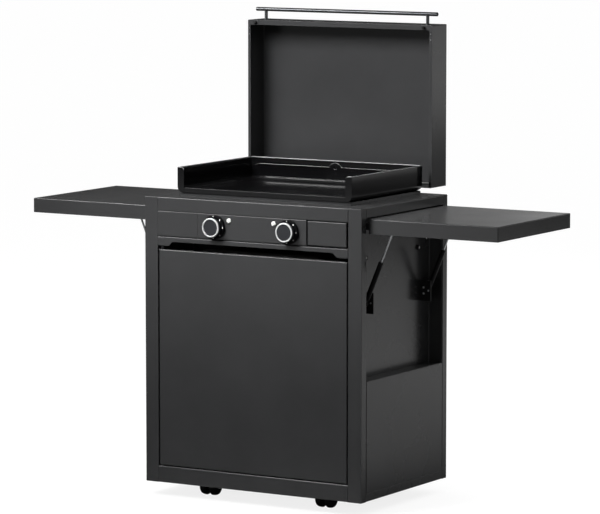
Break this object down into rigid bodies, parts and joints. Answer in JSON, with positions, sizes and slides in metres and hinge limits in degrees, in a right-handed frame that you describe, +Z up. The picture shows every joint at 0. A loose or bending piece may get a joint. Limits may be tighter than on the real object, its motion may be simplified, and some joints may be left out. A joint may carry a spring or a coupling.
{
  "type": "gas griddle on a cart",
  "caption": "Gas griddle with a splash guard and hinged lid on a steel cart with two fold-down side tables, a cabinet door, a grease drawer and swivel casters.",
  "frame": {"origin": "on the floor, under the middle of the whole object's bounding box with the lid open and the side tables up", "axes": "+X to the right as seen by someone who stands at the knobs, +Y from the front to the back, +Z up"},
  "size_m": [1.596, 0.6184, 1.4357],
  "materials": {
    "powder_coat": "matte anthracite powder coat with a fine texture",
    "dark_steel": "satin dark paint on inner steel parts",
    "black_paint": "satin black paint",
    "enamel": "glossy black enamel",
    "bright_steel": "satin steel",
    "zinc_steel": "zinc-plated steel",
    "black_plastic": "fine matte black plastic",
    "knob_grey": "matte dark grey plastic",
    "white_plastic": "white plastic with a soft gloss",
    "rubber": "black rubber"
  },
  "bodies": {
    "cart": {"worktop": "powder_coat", "front_posts": "powder_coat", "rear_posts": "powder_coat", "grip_rail": "powder_coat", "base_rails": "powder_coat", "floor_panel": "powder_coat", "inner_walls": "powder_coat", "side_panels": "powder_coat", "back_panel": "powder_coat", "heat_shield": "dark_steel", "drawer_runners": "dark_steel", "control_panel": "powder_coat", "blank_panel": "powder_coat", "knob_bezels": "black_plastic", "gas_valves": "zinc_steel", "gas_manifold": "zinc_steel", "burners": "bright_steel", "hob_case": "powder_coat", "cooking_plate": "enamel", "splash_guard": "enamel", "lid_hinge_ears": "dark_steel", "hinge_rod": "bright_steel", "strut_brackets": "black_paint", "bracket_screws": "zinc_steel", "table_pivot_bolts": "zinc_steel", "table_buffers": "rubber", "caster_mounts": "black_plastic", "door_pivots": "zinc_steel", "door_catch": "black_plastic"},
    "lid": {"lid_shell": "powder_coat", "lid_handle": "bright_steel", "lid_buffers": "rubber"},
    "table_right": {"table_right": "powder_coat", "table_subframe_right": "black_paint"},
    "table_left": {"table_left": "powder_coat", "table_subframe_left": "black_paint"},
    "cylinders_right": {"strut_cylinders_right": "black_paint"},
    "cylinders_left": {"strut_cylinders_left": "black_paint"},
    "rods_right": {"strut_rods_right": "bright_steel"},
    "rods_left": {"strut_rods_left": "bright_steel"},
    "door": {"door_panel": "powder_coat", "door_grip": "powder_coat"},
    "stem_left": {"valve_stem_left": "zinc_steel"},
    "stem_right": {"valve_stem_right": "zinc_steel"},
    "knob_left": {"knob_left": "knob_grey", "knob_ring_left": "bright_steel"},
    "knob_right": {"knob_right": "knob_grey", "knob_ring_right": "bright_steel"},
    "igniter_left": {"igniter_left": "white_plastic"},
    "igniter_right": {"igniter_right": "white_plastic"},
    "drawer": {"grease_tray": "bright_steel", "drawer_front": "powder_coat"},
    "fork_front_left": {"caster_fork_front_left": "black_plastic"},
    "wheels_front_left": {"caster_wheels_front_left": "rubber"},
    "fork_front_right": {"caster_fork_front_right": "black_plastic"},
    "wheels_front_right": {"caster_wheels_front_right": "rubber"},
    "fork_rear_left": {"caster_fork_rear_left": "black_plastic"},
    "wheels_rear_left": {"caster_wheels_rear_left": "rubber"},
    "fork_rear_right": {"caster_fork_rear_right": "black_plastic"},
    "wheels_rear_right": {"caster_wheels_rear_right": "rubber"}
  },
  "joints": [
    {"name": "lid_hinge", "type": "hinge", "parent": "cart", "child": "lid", "pos_m": [0, 0.2358, 0.924], "axis": [1, 0, 0], "range_deg": [0, 90]},
    {"name": "table_right_fold", "type": "hinge", "parent": "cart", "child": "table_right", "pos_m": [0.35025, -0.2522, 0.84465], "axis": [0, 1, 0], "range_deg": [0, 90]},
    {"name": "strut_right_turn", "type": "hinge", "parent": "cart", "child": "cylinders_right", "pos_m": [0.3447, -0.2122, 0.615], "axis": [0, 1, 0], "range_deg": [-25.44, 0]},
    {"name": "strut_right_slide", "type": "slide", "parent": "cylinders_right", "child": "rods_right", "axis": [0.3899, 0, 0.9209], "range_m": [-0.0938, 0]},
    {"name": "table_left_fold", "type": "hinge", "parent": "cart", "child": "table_left", "pos_m": [-0.35025, -0.2522, 0.84465], "axis": [0, -1, 0], "range_deg": [0, 90]},
    {"name": "strut_left_turn", "type": "hinge", "parent": "cart", "child": "cylinders_left", "pos_m": [-0.3447, -0.2122, 0.615], "axis": [0, -1, 0], "range_deg": [-25.44, 0]},
    {"name": "strut_left_slide", "type": "slide", "parent": "cylinders_left", "child": "rods_left", "axis": [-0.3899, 0, 0.9209], "range_m": [-0.0938, 0]},
    {"name": "door_hinge", "type": "hinge", "parent": "cart", "child": "door", "pos_m": [-0.313, -0.2742, 0.094], "axis": [0, 0, -1], "range_deg": [0, 105]},
    {"name": "knob_left_push", "type": "slide", "parent": "cart", "child": "stem_left", "axis": [0, 1, 0], "range_m": [0, 0.003], "stiffness_N_per_m": 800},
    {"name": "knob_left_turn", "type": "hinge", "parent": "stem_left", "child": "knob_left", "pos_m": [-0.126, -0.2822, 0.818], "axis": [0, 1, 0], "range_deg": [-225, 0]},
    {"name": "igniter_left_push", "type": "slide", "parent": "cart", "child": "igniter_left", "axis": [0, 1, 0], "range_m": [0, 0.003], "stiffness_N_per_m": 500},
    {"name": "knob_right_push", "type": "slide", "parent": "cart", "child": "stem_right", "axis": [0, 1, 0], "range_m": [0, 0.003], "stiffness_N_per_m": 800},
    {"name": "knob_right_turn", "type": "hinge", "parent": "stem_right", "child": "knob_right", "pos_m": [0.126, -0.2822, 0.818], "axis": [0, 1, 0], "range_deg": [-225, 0]},
    {"name": "igniter_right_push", "type": "slide", "parent": "cart", "child": "igniter_right", "axis": [0, 1, 0], "range_m": [0, 0.003], "stiffness_N_per_m": 500},
    {"name": "drawer_slide", "type": "slide", "parent": "cart", "child": "drawer", "axis": [0, -1, 0], "range_m": [0, 0.26]},
    {"name": "caster_front_left_swivel", "type": "hinge", "parent": "cart", "child": "fork_front_left", "pos_m": [-0.201, -0.1762, 0.041], "axis": [0, 0, 1], "continuous": true},
    {"name": "wheels_front_left_spin", "type": "hinge", "parent": "fork_front_left", "child": "wheels_front_left", "pos_m": [-0.201, -0.1902, 0.025], "axis": [1, 0, 0], "continuous": true},
    {"name": "caster_front_right_swivel", "type": "hinge", "parent": "cart", "child": "fork_front_right", "pos_m": [0.201, -0.1762, 0.041], "axis": [0, 0, 1], "continuous": true},
    {"name": "wheels_front_right_spin", "type": "hinge", "parent": "fork_front_right", "child": "wheels_front_right", "pos_m": [0.201, -0.1902, 0.025], "axis": [1, 0, 0], "continuous": true},
    {"name": "caster_rear_left_swivel", "type": "hinge", "parent": "cart", "child": "fork_rear_left", "pos_m": [-0.201, 0.1488, 0.041], "axis": [0, 0, 1], "continuous": true},
    {"name": "wheels_rear_left_spin", "type": "hinge", "parent": "fork_rear_left", "child": "wheels_rear_left", "pos_m": [-0.201, 0.1348, 0.025], "axis": [1, 0, 0], "continuous": true},
    {"name": "caster_rear_right_swivel", "type": "hinge", "parent": "cart", "child": "fork_rear_right", "pos_m": [0.201, 0.1488, 0.041], "axis": [0, 0, 1], "continuous": true},
    {"name": "wheels_rear_right_spin", "type": "hinge", "parent": "fork_rear_right", "child": "wheels_rear_right", "pos_m": [0.201, 0.1348, 0.025], "axis": [1, 0, 0], "continuous": true}
  ],
  "couplings": [
    {"joint": "strut_right_turn", "follows": "table_right_fold", "ratio": -0.28213},
    {"joint": "strut_right_slide", "follows": "table_right_fold", "m_per_rad": -0.059654},
    {"joint": "strut_left_turn", "follows": "table_left_fold", "ratio": -0.28213},
    {"joint": "strut_left_slide", "follows": "table_left_fold", "m_per_rad": -0.059654}
  ]
}
